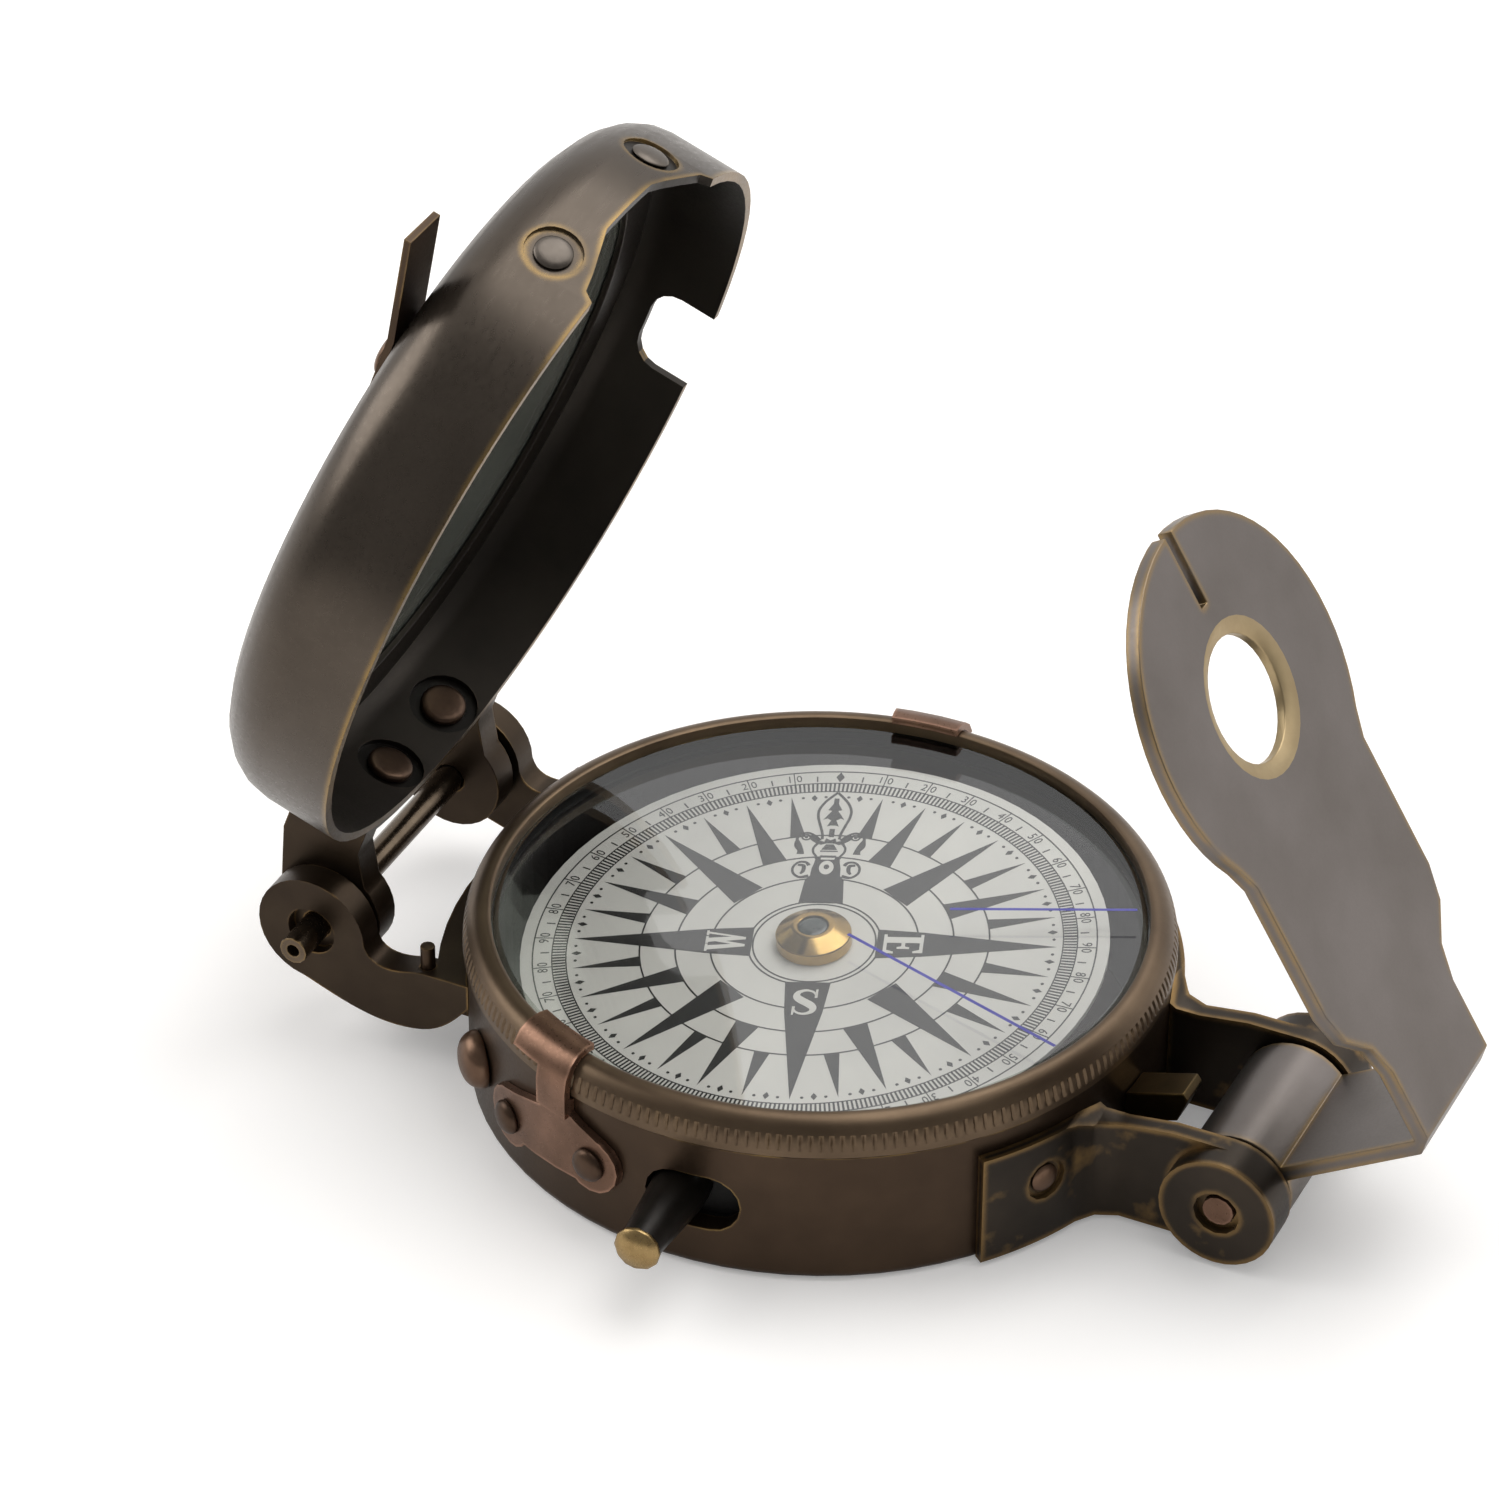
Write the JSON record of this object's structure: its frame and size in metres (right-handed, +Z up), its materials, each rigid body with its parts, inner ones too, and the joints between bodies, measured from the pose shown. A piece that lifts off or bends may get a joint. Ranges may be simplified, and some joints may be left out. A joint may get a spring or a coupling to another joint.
{
  "type": "pocket compass",
  "caption": "Folding pocket compass: round case with a floating card under a turning bezel, hinged mirror lid, folding sight leaf and a side lever that locks the card.",
  "frame": {"origin": "centre of the case underside, on the surface the compass rests on", "axes": "+Z up through the card pivot, +X from the lid hinge towards the sight leaf hinge, both hinge pins along Y"},
  "size_m": [0.0979, 0.0664, 0.078],
  "materials": {
    "bronze": "dark antique bronze patina, worn bright at the edges",
    "bezel_bronze": "brown antique bronze patina, serrated",
    "copper": "oxidised copper",
    "brass": "polished brass",
    "steel": "satin",
    "black": "black oxide",
    "card": "printed dial",
    "glass": "clear, bevelled edge",
    "mirror": "polished",
    "felt": "felt",
    "rubber": "matte",
    "jewel": "polished stone"
  },
  "bodies": {
    "case": {"bezel_clip_back": "copper", "bezel_clip_front": "copper", "case_body": "bronze", "clip_rivet_back_1": "copper", "clip_rivet_back_2": "copper", "clip_rivet_front_1": "copper", "clip_rivet_front_2": "copper", "dial_ring": "steel", "leaf_bracket_back": "bronze", "leaf_bracket_front": "bronze", "leaf_bracket_rivet_back": "copper", "leaf_bracket_rivet_front": "copper", "leaf_hinge_pin": "copper", "leaf_hinge_washer_back": "brass", "leaf_hinge_washer_front": "brass", "lid_bracket_rivet_back": "copper", "lid_bracket_rivet_front": "copper", "lid_hinge_bracket": "bronze", "lid_hinge_pin": "copper", "lid_hinge_washer_back": "steel", "lid_hinge_washer_front": "steel", "lid_rest_tab": "brass", "lid_stop_pin_back": "bronze", "lid_stop_pin_front": "bronze", "lifter_base": "brass", "lifter_screw": "steel", "pivot_pin": "brass", "wall_rivet_back": "copper", "wall_rivet_front": "copper"},
    "bezel": {"bezel_ring": "bezel_bronze", "crystal": "glass", "crystal_gasket": "rubber"},
    "card": {"compass_card": "card", "card_cap": "brass", "cap_jewel": "jewel", "card_magnet_west": "steel", "card_magnet_east": "steel"},
    "lifter": {"card_lifter": "brass"},
    "lock": {"lock_slide": "copper", "lock_post": "black", "lock_knob": "brass"},
    "lid": {"lid_shell": "bronze", "mirror_backing": "felt", "lid_mirror": "mirror", "mirror_ring": "bronze", "lid_hinge_ears": "bronze", "lid_ear_rivet_1": "copper", "lid_ear_rivet_2": "copper", "lid_wall_rivet_front": "copper", "lid_wall_rivet_back": "copper", "lid_strap": "bronze", "lid_strap_rivet": "copper"},
    "leaf": {"sight_leaf": "bronze"}
  },
  "joints": [
    {"name": "lid_hinge", "type": "hinge", "parent": "case", "child": "lid", "pos_m": [-0.0383, 0, 0.01], "axis": [0, -1, 0], "range_deg": [-69.8, 90]},
    {"name": "leaf_hinge", "type": "hinge", "parent": "case", "child": "leaf", "pos_m": [0.0387, 0, 0.0053], "axis": [0, 1, 0], "range_deg": [-59, 41]},
    {"name": "bezel_turn", "type": "hinge", "parent": "case", "child": "bezel", "pos_m": [0, 0, 0.0138], "axis": [0, 0, 1], "continuous": true},
    {"name": "card_turn", "type": "hinge", "parent": "case", "child": "card", "pos_m": [-0.0005, -0.0001, 0.0118], "axis": [0, 0, 1], "continuous": true},
    {"name": "lock_lever", "type": "hinge", "parent": "case", "child": "lock", "pos_m": [0, 0, 0.0065], "axis": [0, 0, 1], "range_deg": [0, 5.5]},
    {"name": "lifter_bend", "type": "hinge", "parent": "case", "child": "lifter", "pos_m": [-0.0005, 0.0175, 0.00655], "axis": [-1, 0, 0], "range_deg": [0, 1.9]}
  ],
  "couplings": [
    {"joint": "lifter_bend", "follows": "lock_lever", "ratio": 0.345}
  ]
}
